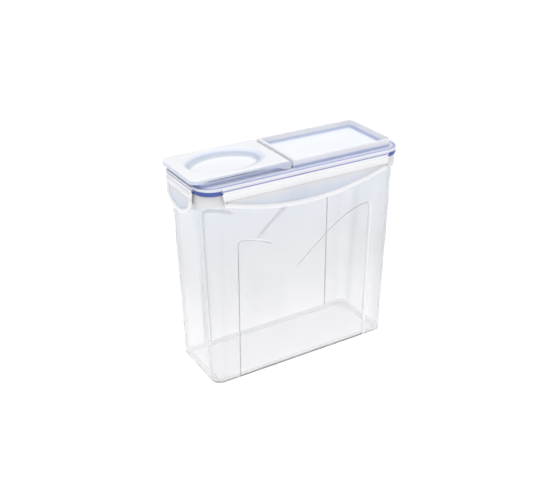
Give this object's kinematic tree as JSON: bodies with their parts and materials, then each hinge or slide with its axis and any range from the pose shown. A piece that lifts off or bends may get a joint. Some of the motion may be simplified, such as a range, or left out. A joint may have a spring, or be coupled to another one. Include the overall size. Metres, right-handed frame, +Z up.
{
  "type": "cereal dispenser",
  "caption": "Slim see-through food container with a clip-down lid, side latches and a flip-top pour cap, for keeping and pouring dry cereal.",
  "frame": {"origin": "middle of the container's base, on the surface it stands on", "axes": "+Z up, +X along the length towards the tray end (the pour cap's free end is at -X), -Y the wide front"},
  "size_m": [0.2502, 0.102, 0.237],
  "materials": {
    "container_plastic": "see-through, faintly blue polypropylene, smooth",
    "lid_plastic": "clear moulded plastic, polished",
    "milky_plastic": "milky half see-through polypropylene, satin",
    "silicone": "blue silicone, smooth"
  },
  "bodies": {
    "container": {"container": "container_plastic"},
    "lid": {"lid": "lid_plastic", "lid_gasket": "silicone", "hinge_web_front": "milky_plastic", "hinge_web_back": "milky_plastic", "hinge_web_left": "milky_plastic", "hinge_web_right": "milky_plastic"},
    "latch_front": {"latch_front": "milky_plastic"},
    "latch_back": {"latch_back": "milky_plastic"},
    "latch_left": {"latch_left": "milky_plastic"},
    "latch_right": {"latch_right": "milky_plastic"},
    "pour_cap": {"pour_cap": "milky_plastic", "cap_gasket": "silicone"}
  },
  "joints": [
    {"name": "lid_lift", "type": "slide", "parent": "container", "child": "lid", "axis": [0, 0, 1], "range_m": [0, 0.15]},
    {"name": "latch_front_hinge", "type": "hinge", "parent": "lid", "child": "latch_front", "pos_m": [0, -0.0478, 0.2227], "axis": [-1, 0, 0], "range_deg": [-3, 107], "deforming": ["hinge_web_front"]},
    {"name": "latch_back_hinge", "type": "hinge", "parent": "lid", "child": "latch_back", "pos_m": [0, 0.0478, 0.2227], "axis": [1, 0, 0], "range_deg": [-3, 107], "deforming": ["hinge_web_back"]},
    {"name": "latch_left_hinge", "type": "hinge", "parent": "lid", "child": "latch_left", "pos_m": [-0.1219, 0, 0.2227], "axis": [0, 1, 0], "range_deg": [-3, 107], "deforming": ["hinge_web_left"]},
    {"name": "latch_right_hinge", "type": "hinge", "parent": "lid", "child": "latch_right", "pos_m": [0.1219, 0, 0.2227], "axis": [0, -1, 0], "range_deg": [-3, 107], "deforming": ["hinge_web_right"]},
    {"name": "pour_cap_hinge", "type": "hinge", "parent": "lid", "child": "pour_cap", "pos_m": [-0.0186, 0, 0.2324], "axis": [0, 1, 0], "range_deg": [0, 100]}
  ]
}
